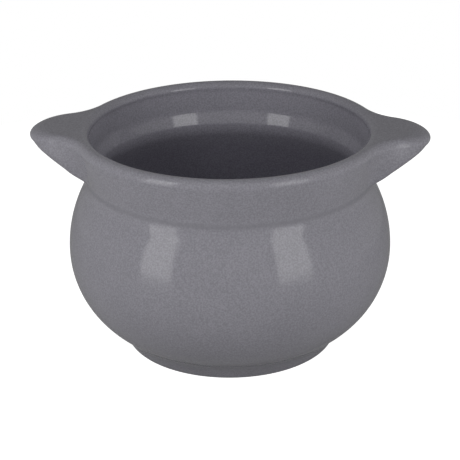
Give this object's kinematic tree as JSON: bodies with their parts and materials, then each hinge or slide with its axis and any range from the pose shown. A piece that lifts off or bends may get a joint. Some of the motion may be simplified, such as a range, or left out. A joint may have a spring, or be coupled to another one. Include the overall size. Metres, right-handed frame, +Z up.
{
  "type": "soup crock",
  "caption": "Round glazed stoneware soup crock with a bulbous bowl, a flared collar, a low foot ring and a pointed lug at each side to lift it by.",
  "frame": {"origin": "middle of the foot ring, on the surface that the crock stands on", "axes": "+Z up along the axis of the bowl, +X through the middle of the right lug"},
  "size_m": [0.1368, 0.112, 0.0777],
  "materials": {
    "glaze": "warm grey satin glaze over stoneware, with a fine speckle and soft highlights; the flat of the foot is bare clay"
  },
  "bodies": {
    "root": {"bowl": "glaze", "collar": "glaze", "lug_left": "glaze", "lug_right": "glaze", "foot_ring": "glaze"}
  },
  "joints": []
}
